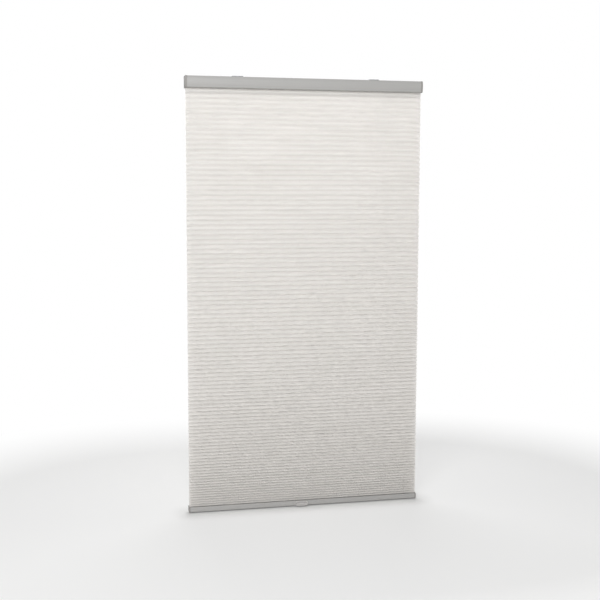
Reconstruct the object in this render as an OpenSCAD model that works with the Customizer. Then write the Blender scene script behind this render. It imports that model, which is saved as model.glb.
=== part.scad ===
// Cordless cellular shade for inside mounting.
// X runs along the headrail, Y points from the room to the window, Z is up.
// The origin is the middle of the bracket screw pattern, on the mounting plane
// where the bracket tops meet the underside of the window head.

/* [Shade] */
// Width across the headrail's end caps
shade_w = 673; // [600:1:1200]
// Drop from the mounting plane to the lowest point
shade_h = 1219; // [700:1:1800]

/* [Headrail] */
// Height of the headrail
headrail_h = 31; // [30:0.5:40]
// Depth of the headrail, front to back
headrail_depth = 38; // [37:0.5:50]
// Wall of the headrail extrusion
headrail_wall = 1.5; // [1.2:0.1:1.8]
// Radius of the bulged front face
bulge_r = 45; // [40:1:90]
// Radius of the rounded lower front edge
nose_r = 4; // [3:0.5:6]
// Thickness of the headrail's end caps
cap_t = 5; // [3:0.5:8]

/* [Brackets] */
// Width of a mounting bracket
bracket_w = 30; // [26:1:40]
// Thickness of the bracket's top plate
bracket_t = 1.5; // [1.2:0.1:2]
// Distance from the end of the shade to a bracket's middle
bracket_inset = 143.5; // [120:0.5:190]
// Diameter of a bracket's screw hole
screw_hole_d = 4.4; // [3.5:0.1:5]
// Distance between the two screw holes of a bracket
screw_spacing = 11; // [9:0.5:12]

/* [Cells] */
// Length of one fabric facet between its folds
facet_w = 9.5; // [8:0.5:11]
// Width of the glued bond between two cells
bond_w = 5; // [4:0.5:7]
// Thickness of the fabric
fabric_t = 0.3; // [0.2:0.05:0.4]
// Height of the top cell, which carries the most weight
pitch_top = 14; // [10:0.5:15]
// Height of the bottom cell, which carries the least
pitch_bottom = 6.4; // [5:0.2:9]
// How much narrower the fabric is than the shade, at each end
fabric_margin = 2; // [1:0.5:5]

/* [Bottom rail] */
// Height of the bottom rail
rail_h = 15; // [14:0.5:22]
// Depth of the bottom rail, front to back
rail_depth = 23; // [23:0.5:30]
// Wall of the bottom rail extrusion
rail_wall = 1.3; // [1:0.1:1.6]
// Radius of the rail's lower edges
rail_corner_r = 4; // [2.5:0.5:5]
// Thickness of the bottom rail's end caps
rail_cap_t = 4; // [3:0.5:8]

/* [Handle] */
// Width of the lift handle
handle_w = 38; // [30:1:60]
// Height of the lift handle
handle_h = 14; // [13:0.5:15]
// How far the lift handle stands out of the rail
handle_d = 8; // [7:0.5:12]
// Rim of the lift handle around its finger dish
handle_rim = 2.6; // [2:0.2:3]
// Distance of the handle's middle from the shade's middle
handle_x = -12; // [-100:1:100]

/* [Lift] */
// Diameter of a lift cord
cord_d = 1.2; // [0.9:0.1:1.4]
// Distance from the end of the shade to a lift cord
cord_inset = 96.5; // [80:0.5:110]
// Radius of a cord spool's core
spool_r = 8; // [6:0.5:8.5]
// Number of teeth on each drum and spool gear
gear_teeth = 22; // [20:2:24]
// Module of the gears
gear_module = 1; // [0.9:0.05:1.05]
// Height of the spring motor's housing
motor_h = 21.5; // [18:0.5:22]
// Width of the flat drive spring
spring_w = 11; // [7:0.5:11.5]

/* [Hidden] */
$fn = 64;

// Clearances
fit_gap = 0.2;    // between a plug and the extrusion it slides into
seat_gap = 0.5;   // between a bracket's plate and the headrail's lips
strip_gap = 0.3;  // round a fabric strip and round its pocket
run_gap = 0.08;   // radial, between a post or pin and what turns on it
turn_gap = 0.3;   // between a turning piece and its neighbours
past = 1;         // how far a cut runs past the face it opens

// Headrail section
head_top = -(bracket_t + seat_gap);
head_bottom = head_top - headrail_h;
head_front = -headrail_depth / 2;
body_w = shade_w - 2 * cap_t;
bulge_level = 0.52; // height of the bulge's crest, as a share of the headrail
bulge_c = [head_front + bulge_r, head_bottom + headrail_h * bulge_level];
nose_z = head_bottom + nose_r;
nose_c = [bulge_c.x - sqrt(pow(bulge_r - nose_r, 2) - pow(nose_z - bulge_c.y, 2)), nose_z];
nose_dir = (nose_c - bulge_c) / norm(nose_c - bulge_c);
lip_under = head_top - headrail_wall;

// Fabric strips and the channels that hold them
strip_w = 18;
strip_t = 1.2;
pocket_w = strip_w + 2 * (strip_gap + fabric_t);
pocket_h = strip_t + 2 * (strip_gap + fabric_t);
channel_w = pocket_w + 2 * strip_gap;
channel_h = pocket_h + 2 * strip_gap;
neck_gap = 1;
fabric_slot = bond_w + 2 * neck_gap;
top_strip_z = head_bottom + headrail_wall + channel_h / 2;
floor_under = head_bottom + headrail_wall + channel_h;
floor_top = floor_under + headrail_wall;
rib_t = 1.2;

// End caps of the headrail
cap_proud = 0.4;
cap_plug_len = 12;
cap_plug_wall = 1.6;
latch_w = 3;
latch_h = 3;
latch_lift = 1.5;
latch_z = floor_top + latch_lift;
latch_inset = 1.5;
latch_depth = 0.8;

// Mounting brackets
bracket_x = shade_w / 2 - bracket_inset;
bracket_setback = 3;
bracket_d = headrail_depth - 2 * bracket_setback;
bracket_corner_r = 3;
slot_half = 11;
clip_gap = 0.4;
leg_t = 1.2;
leg_setback = 4;
leg_w = bracket_w - 2 * leg_setback;
leg_y = slot_half - clip_gap;
hook_reach = 3;
tongue_drop = 4;

// Cells: pitch falls with the square of the depth below the headrail
rail_plug_flange = 1;
rail_bottom = -shade_h + rail_plug_flange;
rail_top = rail_bottom + rail_h;
end_neck = 0.6;
cells_top = head_bottom - end_neck;
cells_bottom = rail_top + end_neck;
cells_drop = cells_top - cells_bottom;
cell_count = round(cells_drop / (pitch_top - (pitch_top - pitch_bottom) / 3));
function hang(i) = pitch_top - (pitch_top - pitch_bottom) * pow(i / (cell_count - 1), 2);
function total(list, i = 0) = i < len(list) ? list[i] + total(list, i + 1) : 0;
hang_list = [for (i = [0 : cell_count - 1]) hang(i)];
stretch = cells_drop / total(hang_list);
function pitch(i) = hang_list[i] * stretch;
bond_z = [for (i = 0, z = cells_top; i <= cell_count; z = z - (i < cell_count ? pitch(i) : 0), i = i + 1) z];
fabric_w = shade_w - 2 * fabric_margin;

// Bottom rail section
rail_front = -rail_depth / 2;
rail_edge_r = 1.2;
rail_web_top = rail_top - rail_wall - channel_h;
rail_web_under = rail_web_top - rail_wall;
bottom_strip_z = rail_top - rail_wall - channel_h / 2;
rail_body_w = shade_w - 2 * rail_cap_t;
rail_cap_proud = 0.3;
rail_cap_plug = 10;

// Lift handle
handle_above = 0.5;
handle_z = rail_top + handle_above - handle_h / 2;
handle_back = 2.2;
handle_peg_r = 1.5;
handle_peg_gap = 0.1;
handle_peg_past = 0.5;
handle_end_x = (handle_w - handle_h) / 2;

// Spring motor: four geared axes in a row along the headrail
pitch_r = gear_module * gear_teeth / 2;
gear_outer_r = pitch_r + gear_module;
gear_root_r = pitch_r - 1.25 * gear_module;
gear_backlash = 0.16;
pressure_angle = 20;
base_circle_r = pitch_r * cos(pressure_angle);
flank_steps = 3;
axis_pitch = 2 * pitch_r;
axis_x = [-1.5 * axis_pitch, -0.5 * axis_pitch, 0.5 * axis_pitch, 1.5 * axis_pitch];
motor_wall = 1.2;
motor_floor = 1.6;
cover_t = 1.5;
motor_margin = gear_outer_r + 2 * turn_gap + motor_wall;
motor_l = 3 * axis_pitch + 2 * motor_margin;
motor_w = 2 * motor_margin;
motor_corner_r = 5;
motor_z = floor_top;
wall_top = motor_z + motor_h - cover_t;
gear_z = motor_z + motor_floor + turn_gap;
gear_t = 4;
drum_z = gear_z + gear_t;
drum_top = wall_top - turn_gap;
flange_t = 1.2;
flange_r = gear_root_r;
post_r = 2.5;
post_tip_r = 1.7;
drum_r = 6;
coil_gap = 0.2;
output_coil_t = 3.2;
storage_coil_t = 1;
spring_band_t = 0.3;
boss_r = 2.2;
boss_merge = 0.6; // how far a boss runs into the housing's wall
boss_y = motor_margin - motor_wall - boss_r + boss_merge;
screw_r = 1.1;
screw_head_r = 2.4;
screw_head_h = 1.3;
screw_l = 9;
peg_r = 2;
peg_inset = 4;
peg_x = motor_l / 2 - peg_inset;
exit_h = 4;

// Lift cords, their guides and pulleys
cord_r = cord_d / 2;
cord_x = shade_w / 2 - cord_inset;
cord_z = (drum_z + drum_top - flange_t) / 2;
cord_gap = 0.1; // between a cord and what it wraps
cord_y = spool_r + cord_r + cord_gap;
pulley_groove_r = 4;
pulley_turn_r = pulley_groove_r + cord_r + cord_gap;
pulley_flange_h = 1.4;
pulley_r = pulley_groove_r + pulley_flange_h;
pulley_w = 5;
pulley_x = cord_x - pulley_turn_r;
pulley_z = cord_z - pulley_turn_r;
pin_r = 1.25;
pin_fit = 0.03;
cheek_t = 1.6;
cheek_gap = pulley_w + 2 * turn_gap;
cheek_half = 5;
guide_base_t = pulley_z - pulley_r - turn_gap - floor_top;
guide_l = 24;
guide_foot = 3;
guide_w = cheek_gap + 2 * (cheek_t + guide_foot);
guide_corner_r = 3;
spigot_r = 2.6;
spigot_play = 0.8;
spigot_bore_r = cord_r + spigot_play;
hole_play = 0.6;
fabric_hole_r = cord_r + hole_play;
washer_r = 3.4;
washer_t = 1.2;
knot_r = 1.7;
rail_plug_r = 4.5;
rail_plug_flange_r = 6;
rail_plug_past = 0.5;

// Shared shapes

// Sweeps a section drawn as (Y, Z) along X
module along_x(x, length) {
    translate([x, 0, 0]) rotate([90, 0, 90]) linear_extrude(length) children();
}

// A band of the (Y, Z) plane between two heights
module band(low, high) {
    translate([-headrail_depth, low]) square([2 * headrail_depth, high - low]);
}

// A rectangle with round corners, centred
module rounded_rect(w, h, r) {
    square([w - 2 * r, h], center = true);
    square([w, h - 2 * r], center = true);
    for (sx = [-1, 1], sy = [-1, 1])
        translate([sx * (w / 2 - r), sy * (h / 2 - r)]) circle(r = r);
}

// A bar with round ends, centred
module stadium(w, h) {
    square([w - h, h], center = true);
    for (s = [-1, 1]) translate([s * (w - h) / 2, 0]) circle(d = h);
}

// Draws a left piece, or its mirror image on the right
module sided(mirrored) {
    if (mirrored) mirror([1, 0, 0]) children();
    else children();
}

// Headrail

// Outline of the headrail, moved in by inset
module headrail_outline(inset = 0) {
    difference() {
        intersection() {
            translate(bulge_c) circle(r = bulge_r - inset, $fn = 128);
            translate([head_front - past, head_bottom + inset])
                square([headrail_depth + past - inset, headrail_h - 2 * inset]);
        }
        difference() {
            polygon([
                nose_c,
                nose_c + 3 * nose_r * nose_dir,
                nose_c - 4 * nose_r * [1, 1],
                nose_c - [0, 3 * nose_r]
            ]);
            translate(nose_c) circle(r = nose_r - inset);
        }
    }
}

module headrail_section() {
    difference() {
        headrail_outline();
        intersection() {
            headrail_outline(headrail_wall);
            band(floor_top, head_top);
        }
        translate([-slot_half, lip_under - past])
            square([2 * slot_half, headrail_wall + 2 * past]);
        difference() {
            intersection() {
                headrail_outline(headrail_wall);
                band(head_bottom + headrail_wall, floor_under);
            }
            for (s = [-1, 1])
                translate([s * (channel_w + rib_t) / 2 - rib_t / 2, head_bottom])
                    square([rib_t, floor_top - head_bottom]);
        }
        translate([-fabric_slot / 2, head_bottom - past])
            square([fabric_slot, headrail_wall + 2 * past]);
    }
}

module latch_block(depth, grow) {
    for (s = [-1, 1])
        translate([
            s * (body_w / 2 - latch_inset - latch_w / 2) - latch_w / 2 - grow,
            head_front + (headrail_wall - depth) - past,
            latch_z - grow
        ])
            cube([latch_w + 2 * grow, depth + 2 * past + cap_plug_wall, latch_h + 2 * grow]);
}

module headrail() {
    color("LightGray") difference() {
        along_x(-body_w / 2, body_w) headrail_section();
        for (s = [-1, 1]) {
            translate([s * cord_x, 0, floor_under - past])
                cylinder(r = spigot_r + fit_gap / 2, h = headrail_wall + 2 * past);
            translate([s * peg_x, 0, floor_under - past])
                cylinder(r = peg_r + fit_gap / 2, h = headrail_wall + 2 * past);
        }
        latch_block(headrail_wall, fit_gap);
    }
}

// The plug that a cap pushes into the headrail, as an outline moved in by inset
module cap_plug_outline(inset) {
    intersection() {
        headrail_outline(headrail_wall + inset);
        band(floor_top + inset, lip_under - inset);
    }
}

// What a cap leaves free for the end of a fabric strip, its pocket and the neck to neck_z
module strip_recess(cap_wall, strip_z, neck_z) {
    along_x(-shade_w / 2 + fabric_margin - fit_gap, cap_wall) {
        translate([0, strip_z]) square([channel_w, channel_h], center = true);
        translate([-fabric_slot / 2, min(strip_z, neck_z)]) square([fabric_slot, abs(strip_z - neck_z)]);
    }
}

module headrail_end_cap(mirrored) {
    color("Silver") sided(mirrored) {
        difference() {
            along_x(-shade_w / 2, cap_t) headrail_outline(-cap_proud);
            strip_recess(cap_t, top_strip_z, head_bottom - past);
        }
        along_x(-body_w / 2, cap_plug_len) difference() {
            cap_plug_outline(fit_gap);
            cap_plug_outline(fit_gap + cap_plug_wall);
        }
        intersection() {
            latch_block(latch_depth, 0);
            along_x(-body_w / 2, cap_plug_len) difference() {
                headrail_outline(headrail_wall - latch_depth);
                headrail_outline(headrail_wall + fit_gap + cap_plug_wall / 2);
            }
        }
    }
}

// Mounting brackets

// Section through the bracket's two legs: the front hook and the sprung rear tongue
module bracket_legs() {
    foot = lip_under - leg_t;
    translate([-leg_y, foot]) square([leg_t, -foot]);
    translate([-leg_y - hook_reach, foot]) square([hook_reach + leg_t, leg_t]);
    translate([leg_y - leg_t, foot - tongue_drop]) square([leg_t, tongue_drop - foot]);
    polygon([
        [leg_y - leg_t, lip_under],
        [leg_y + hook_reach, lip_under],
        [leg_y + hook_reach, foot],
        [leg_y - leg_t, foot - hook_reach]
    ]);
}

module mounting_bracket(mirrored) {
    color("DimGray") sided(mirrored) translate([-bracket_x, 0, 0]) {
        difference() {
            translate([0, 0, -bracket_t]) linear_extrude(bracket_t)
                rounded_rect(bracket_w, bracket_d, bracket_corner_r);
            for (s = [-1, 1])
                translate([0, s * screw_spacing / 2, -bracket_t - past])
                    cylinder(d = screw_hole_d, h = bracket_t + 2 * past);
        }
        intersection() {
            along_x(-leg_w / 2, leg_w) bracket_legs();
            translate([-leg_w, -headrail_depth, -headrail_h])
                cube([2 * leg_w, 2 * headrail_depth, headrail_h - bracket_t / 2]);
        }
    }
}

// Spring motor

// Half the angle of a tooth at radius r, from the involute of the base circle
function involute_angle(r) =
    let (a = acos(min(1, base_circle_r / r))) tan(a) * 180 / PI - a;
half_tooth = 90 / gear_teeth - gear_backlash / 2 / pitch_r * 180 / PI;
function tooth_half(r) = half_tooth + involute_angle(pitch_r) - involute_angle(r);
flank_start_r = max(base_circle_r, gear_root_r);
flank_radii = [for (i = [0 : flank_steps]) flank_start_r + (gear_outer_r - flank_start_r) * i / flank_steps];

// One gear's outline; turn is in degrees
module gear_outline(turn) {
    polygon([
        for (tooth = [0 : gear_teeth - 1])
            let (middle = turn + tooth * 360 / gear_teeth)
                for (point = concat(
                    [[gear_root_r, -tooth_half(flank_start_r)]],
                    [for (r = flank_radii) [r, -tooth_half(r)]],
                    [for (i = [flank_steps : -1 : 0]) [flank_radii[i], tooth_half(flank_radii[i])]],
                    [[gear_root_r, tooth_half(flank_start_r)]]
                ))
                    point[0] * [cos(middle + point[1]), sin(middle + point[1])]
    ]);
}

// A moulded drum on one of the motor's posts: gear, core and top flange
module geared_drum(index, core_r) {
    translate([axis_x[index], 0, 0]) difference() {
        union() {
            translate([0, 0, gear_z]) linear_extrude(gear_t)
                gear_outline(index % 2 * 180 / gear_teeth);
            translate([0, 0, gear_z]) cylinder(r = core_r, h = drum_top - gear_z);
            translate([0, 0, drum_top - flange_t]) cylinder(r = flange_r, h = flange_t);
        }
        translate([0, 0, gear_z - past])
            cylinder(r = post_r + run_gap, h = drum_top - gear_z + 2 * past);
    }
}

module boss_places() {
    for (s = [-1, 1], t = [-1, 1]) translate([s * axis_pitch, t * boss_y, 0]) children();
}

module spring_motor_base() {
    color("Gainsboro") difference() {
        union() {
            difference() {
                translate([0, 0, motor_z]) linear_extrude(motor_h - cover_t)
                    rounded_rect(motor_l, motor_w, motor_corner_r);
                translate([0, 0, motor_z + motor_floor]) linear_extrude(motor_h)
                    rounded_rect(
                        motor_l - 2 * motor_wall, motor_w - 2 * motor_wall, motor_corner_r - motor_wall
                    );
            }
            for (x = axis_x) translate([x, 0, motor_z]) {
                cylinder(r = post_r, h = motor_h - cover_t);
                cylinder(r = post_tip_r, h = motor_h);
            }
            boss_places() translate([0, 0, motor_z]) cylinder(r = boss_r, h = motor_h - cover_t);
            for (s = [-1, 1])
                translate([s * peg_x, 0, floor_under])
                    cylinder(r = peg_r, h = headrail_wall + motor_floor / 2);
        }
        boss_places() translate([0, 0, wall_top + cover_t - screw_l])
            cylinder(r = screw_r + pin_fit, h = screw_l);
        for (s = [-1, 1])
            translate([s * (motor_l / 2 - motor_wall / 2), cord_y, cord_z])
                cube([motor_wall + 2 * past, exit_h, exit_h], center = true);
    }
}

module spring_motor_cover() {
    color("Gainsboro") difference() {
        translate([0, 0, wall_top]) linear_extrude(cover_t)
            rounded_rect(motor_l, motor_w, motor_corner_r);
        for (x = axis_x) translate([x, 0, wall_top - past])
            cylinder(r = post_tip_r + fit_gap, h = cover_t + 2 * past);
        boss_places() translate([0, 0, wall_top - past])
            cylinder(r = screw_r + fit_gap, h = cover_t + 2 * past);
    }
}

module motor_cover_screws() {
    color("DarkGray") boss_places() translate([0, 0, wall_top + cover_t]) {
        cylinder(r = screw_head_r, h = screw_head_h);
        translate([0, 0, -screw_l + fit_gap]) cylinder(r = screw_r, h = screw_l);
    }
}

// The flat spring as it lies with the shade lowered: wound on the output drum,
// its last turns on the storage drum, and the band crossing between the two coils
module drive_spring() {
    inner_r = drum_r + coil_gap;
    output_r = inner_r + output_coil_t;
    storage_r = inner_r + storage_coil_t;
    reach = output_r + storage_r - spring_band_t;
    lean = asin(reach / axis_pitch);
    band_l = sqrt(axis_pitch * axis_pitch - reach * reach);
    spring_z = cord_z - spring_w / 2;
    color("SteelBlue") translate([0, 0, spring_z]) linear_extrude(spring_w) {
        translate([axis_x[1], 0]) difference() {
            circle(r = output_r);
            circle(r = inner_r);
        }
        translate([axis_x[2], 0]) difference() {
            circle(r = storage_r);
            circle(r = inner_r);
        }
        translate([axis_x[1], 0]) rotate(90 - lean)
            translate([output_r - spring_band_t, -band_l]) square([spring_band_t, band_l]);
    }
}

module output_drum() {
    color("WhiteSmoke") geared_drum(1, drum_r);
}

module storage_drum() {
    color("WhiteSmoke") geared_drum(2, drum_r);
}

module left_cord_spool() {
    color("WhiteSmoke") geared_drum(0, spool_r);
}

module right_cord_spool() {
    color("WhiteSmoke") geared_drum(3, spool_r);
}

// Cord guides

module cord_guide(mirrored) {
    color("Gainsboro") sided(mirrored) difference() {
        union() {
            translate([-pulley_x, 0, floor_top]) linear_extrude(guide_base_t)
                rounded_rect(guide_l, guide_w, guide_corner_r);
            for (s = [-1, 1])
                translate([-pulley_x, s * (cheek_gap + cheek_t) / 2, 0]) rotate([90, 0, 0])
                    translate([0, 0, -cheek_t / 2]) linear_extrude(cheek_t) {
                        translate([-cheek_half, floor_top])
                            square([2 * cheek_half, pulley_z - floor_top]);
                        translate([0, pulley_z]) circle(r = cheek_half);
                    }
            translate([-cord_x, 0, floor_under])
                cylinder(r = spigot_r, h = floor_top - floor_under + guide_base_t);
        }
        translate([-cord_x, 0, floor_under - past])
            cylinder(r = spigot_bore_r, h = floor_top - floor_under + guide_base_t + 2 * past);
        translate([-pulley_x, 0, pulley_z]) rotate([90, 0, 0])
            cylinder(r = pin_r + pin_fit, h = guide_w, center = true);
    }
}

module pulley_pin(mirrored) {
    color("DarkGray") sided(mirrored) translate([-pulley_x, 0, pulley_z]) rotate([90, 0, 0])
        cylinder(r = pin_r, h = cheek_gap + 2 * cheek_t, center = true);
}

module guide_pulley(mirrored) {
    color("WhiteSmoke") sided(mirrored) translate([-pulley_x, 0, pulley_z]) rotate([90, 0, 0])
        rotate_extrude() difference() {
            translate([pin_r + run_gap, -pulley_w / 2])
                square([pulley_r - pin_r - run_gap, pulley_w]);
            polygon([
                [pulley_groove_r, -cord_r],
                [pulley_groove_r, cord_r],
                [pulley_r + past, pulley_w / 2],
                [pulley_r + past, -pulley_w / 2]
            ]);
        }
}

// Lift cords

// Points of the left cord from its spool over the pulley to its knot, each with a radius
turn_steps = 6;
knot_z = rail_web_under - washer_t;
left_route = concat(
    [
        [[axis_x[0], cord_y, cord_z], cord_r],
        [[-pulley_x, 0, pulley_z + pulley_turn_r], cord_r]
    ],
    [for (i = [1 : turn_steps]) let (a = 90 * i / turn_steps)
        [[-pulley_x - pulley_turn_r * sin(a), 0, pulley_z + pulley_turn_r * cos(a)], cord_r]],
    [
        [[-cord_x, 0, knot_z - 0.1], cord_r],
        [[-cord_x, 0, knot_z - 0.3], knot_r * 0.8],
        [[-cord_x, 0, knot_z - knot_r], knot_r],
        [[-cord_x, 0, knot_z - knot_r * 1.8], knot_r * 0.7],
        [[-cord_x, 0, knot_z - knot_r * 2], knot_r * 0.3]
    ]
);
cord_sides = 8;

// A tube swept along points that each carry a radius; side is across the route's plane
module swept_tube(route) {
    count = len(route);
    side = [0, 1, 0];
    rings = [for (i = [0 : count - 1])
        let (
            ahead = route[min(i + 1, count - 1)][0] - route[max(i - 1, 0)][0],
            along = ahead / norm(ahead),
            up = cross(side, along) / norm(cross(side, along)),
            across = cross(along, up)
        )
            for (k = [0 : cord_sides - 1])
                let (a = 360 * k / cord_sides)
                    route[i][0] + route[i][1] * (cos(a) * across + sin(a) * up)
    ];
    polyhedron(
        points = rings,
        faces = concat(
            [[for (k = [cord_sides - 1 : -1 : 0]) k]],
            [for (i = [0 : count - 2], k = [0 : cord_sides - 1])
                let (here = i * cord_sides, ahead = here + cord_sides, next = (k + 1) % cord_sides)
                    [here + k, here + next, ahead + next, ahead + k]],
            [[for (k = [0 : cord_sides - 1]) (count - 1) * cord_sides + k]]
        )
    );
}

module lift_cord(mirrored) {
    color("White") sided(mirrored) swept_tube(left_route);
}

// Fabric

function facet_depth(i) = sqrt(facet_w * facet_w - pitch(i) * pitch(i) / 4);
function crest_z(i) = (bond_z[i] + bond_z[i + 1]) / 2;

// The inside of one cell, a hexagon between its two bonds
module cell_hollow(i) {
    depth = facet_depth(i);
    crest = bond_w / 2 + depth - 2 * fabric_t * facet_w / pitch(i);
    shoulder = bond_w / 2 + 2 * depth * fabric_t * (1 - depth / facet_w) / pitch(i)
        - fabric_t * pitch(i) / 2 / facet_w;
    polygon([
        [shoulder, bond_z[i] - fabric_t],
        [crest, crest_z(i)],
        [shoulder, bond_z[i + 1] + fabric_t],
        [-shoulder, bond_z[i + 1] + fabric_t],
        [-crest, crest_z(i)],
        [-shoulder, bond_z[i] - fabric_t]
    ]);
}

// The flat cell that wraps a strip and passes through its slot, up to the bond at neck_z
module strip_pocket(strip_z, neck_z, inset) {
    translate([0, strip_z]) square([pocket_w - 2 * inset, pocket_h - 2 * inset], center = true);
    low = min(strip_z, neck_z + inset);
    high = max(strip_z, neck_z - inset);
    translate([-bond_w / 2 + inset, low]) square([bond_w - 2 * inset, high - low]);
}

module fabric_section() {
    front = [for (i = [0 : cell_count - 1])
        each [[-bond_w / 2, bond_z[i]], [-bond_w / 2 - facet_depth(i), crest_z(i)]]];
    back = [for (i = [cell_count - 1 : -1 : 0])
        each [[bond_w / 2, bond_z[i + 1]], [bond_w / 2 + facet_depth(i), crest_z(i)]]];
    difference() {
        union() {
            polygon(concat(front, [[-bond_w / 2, cells_bottom]], back, [[bond_w / 2, cells_top]]));
            strip_pocket(top_strip_z, cells_top, 0);
            strip_pocket(bottom_strip_z, cells_bottom, 0);
        }
        for (i = [0 : cell_count - 1]) cell_hollow(i);
        strip_pocket(top_strip_z, cells_top, fabric_t);
        strip_pocket(bottom_strip_z, cells_bottom, fabric_t);
    }
}

module cell_fabric() {
    color("Ivory") difference() {
        along_x(-fabric_w / 2, fabric_w) fabric_section();
        for (s = [-1, 1])
            translate([s * cord_x, 0, bottom_strip_z - pocket_h])
                cylinder(r = fabric_hole_r, h = top_strip_z - bottom_strip_z + 2 * pocket_h, $fn = 6);
    }
}

module fabric_strip(strip_z) {
    color("White") difference() {
        along_x(-fabric_w / 2, fabric_w) translate([0, strip_z]) square([strip_w, strip_t], center = true);
        for (s = [-1, 1])
            translate([s * cord_x, 0, strip_z])
                cylinder(r = fabric_hole_r, h = strip_t + 2 * past, center = true);
    }
}

// Bottom rail

module rail_outline(inset = 0) {
    w = rail_depth - 2 * inset;
    h = rail_h - 2 * inset;
    low_r = max(rail_corner_r - inset, 0.3);
    high_r = max(rail_edge_r - inset, 0.3);
    translate([-w / 2, rail_bottom + inset]) {
        translate([0, low_r]) square([w, h - low_r - high_r]);
        translate([low_r, 0]) square([w - 2 * low_r, h / 2]);
        translate([high_r, h / 2]) square([w - 2 * high_r, h / 2]);
        for (y = [low_r, w - low_r]) translate([y, low_r]) circle(r = low_r);
        for (y = [high_r, w - high_r]) translate([y, h - high_r]) circle(r = high_r);
    }
}

// The hollow under the rail's web, moved in by inset
module rail_hollow(inset = 0) {
    intersection() {
        rail_outline(rail_wall + inset);
        band(rail_bottom, rail_web_under - inset);
    }
}

module bottom_rail() {
    color("LightGray") difference() {
        along_x(-rail_body_w / 2, rail_body_w) difference() {
            rail_outline();
            rail_hollow();
            translate([-channel_w / 2, rail_web_top]) square([channel_w, channel_h]);
            translate([-fabric_slot / 2, rail_top - rail_wall - past])
                square([fabric_slot, rail_wall + 2 * past]);
        }
        for (s = [-1, 1]) {
            translate([s * cord_x, 0, rail_web_under - past])
                cylinder(r = fabric_hole_r, h = rail_wall + 2 * past);
            translate([s * cord_x, 0, rail_bottom - past])
                cylinder(r = rail_plug_r + fit_gap / 2, h = rail_wall + 2 * past);
            translate([handle_x + s * handle_end_x, rail_front - past, handle_z]) rotate([-90, 0, 0])
                cylinder(r = handle_peg_r + handle_peg_gap, h = rail_wall + 2 * past);
        }
    }
}

module rail_end_cap(mirrored) {
    color("Silver") sided(mirrored) {
        difference() {
            along_x(-shade_w / 2, rail_cap_t) rail_outline(-rail_cap_proud);
            strip_recess(rail_cap_t, bottom_strip_z, rail_top + past);
        }
        along_x(-rail_body_w / 2, rail_cap_plug) rail_hollow(fit_gap);
    }
}

// Section of the finger pull's wall: radius across, depth up, with a rolled lip
module handle_wall_section() {
    lip_r = handle_rim / 2;
    translate([handle_h / 2 - handle_rim, 0]) square([handle_rim, handle_d - lip_r]);
    translate([handle_h / 2 - lip_r, handle_d - lip_r]) circle(r = lip_r);
}

// A finger dish pegged to the rail's front
module lift_handle() {
    color("WhiteSmoke") translate([handle_x, rail_front, handle_z]) rotate([90, 0, 0]) {
        linear_extrude(handle_back) stadium(handle_w, handle_h);
        for (s = [-1, 1]) {
            translate([s * handle_end_x, 0, 0]) rotate(-90 * s)
                rotate_extrude(angle = 180) handle_wall_section();
            rotate(90 - 90 * s)
                along_x(-handle_end_x, 2 * handle_end_x) handle_wall_section();
            translate([s * handle_end_x, 0, -rail_wall - handle_peg_past])
                cylinder(r = handle_peg_r, h = rail_wall + handle_peg_past + handle_back / 2);
        }
    }
}

module cord_washer(mirrored) {
    color("Silver") sided(mirrored) translate([-cord_x, 0, rail_web_under - washer_t]) difference() {
        cylinder(r = washer_r, h = washer_t);
        translate([0, 0, -past]) cylinder(r = cord_r + fit_gap, h = washer_t + 2 * past);
    }
}

module rail_plug(mirrored) {
    color("Silver") sided(mirrored) translate([-cord_x, 0, rail_bottom]) {
        translate([0, 0, -rail_plug_flange]) cylinder(r = rail_plug_flange_r, h = rail_plug_flange);
        translate([0, 0, -rail_plug_flange / 2])
            cylinder(r = rail_plug_r, h = rail_wall + rail_plug_flange / 2 + rail_plug_past);
    }
}

headrail();
headrail_end_cap(false);  // left_headrail_end_cap
headrail_end_cap(true);  // right_headrail_end_cap
mounting_bracket(false);  // left_mounting_bracket
mounting_bracket(true);  // right_mounting_bracket
spring_motor_base();
spring_motor_cover();
motor_cover_screws();
drive_spring();
output_drum();
storage_drum();
left_cord_spool();
right_cord_spool();
cord_guide(false);  // left_cord_guide
cord_guide(true);  // right_cord_guide
pulley_pin(false);  // left_pulley_pin
pulley_pin(true);  // right_pulley_pin
guide_pulley(false);  // left_guide_pulley
guide_pulley(true);  // right_guide_pulley
lift_cord(false);  // left_lift_cord
lift_cord(true);  // right_lift_cord
fabric_strip(top_strip_z);  // top_fabric_strip
cell_fabric();
fabric_strip(bottom_strip_z);  // bottom_fabric_strip
bottom_rail();
rail_end_cap(false);  // left_rail_end_cap
rail_end_cap(true);  // right_rail_end_cap
lift_handle();
cord_washer(false);  // left_cord_washer
cord_washer(true);  // right_cord_washer
rail_plug(false);  // left_rail_plug
rail_plug(true);  // right_rail_plug
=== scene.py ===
import math

import bmesh
import bpy
from mathutils import Matrix, Vector


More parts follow.
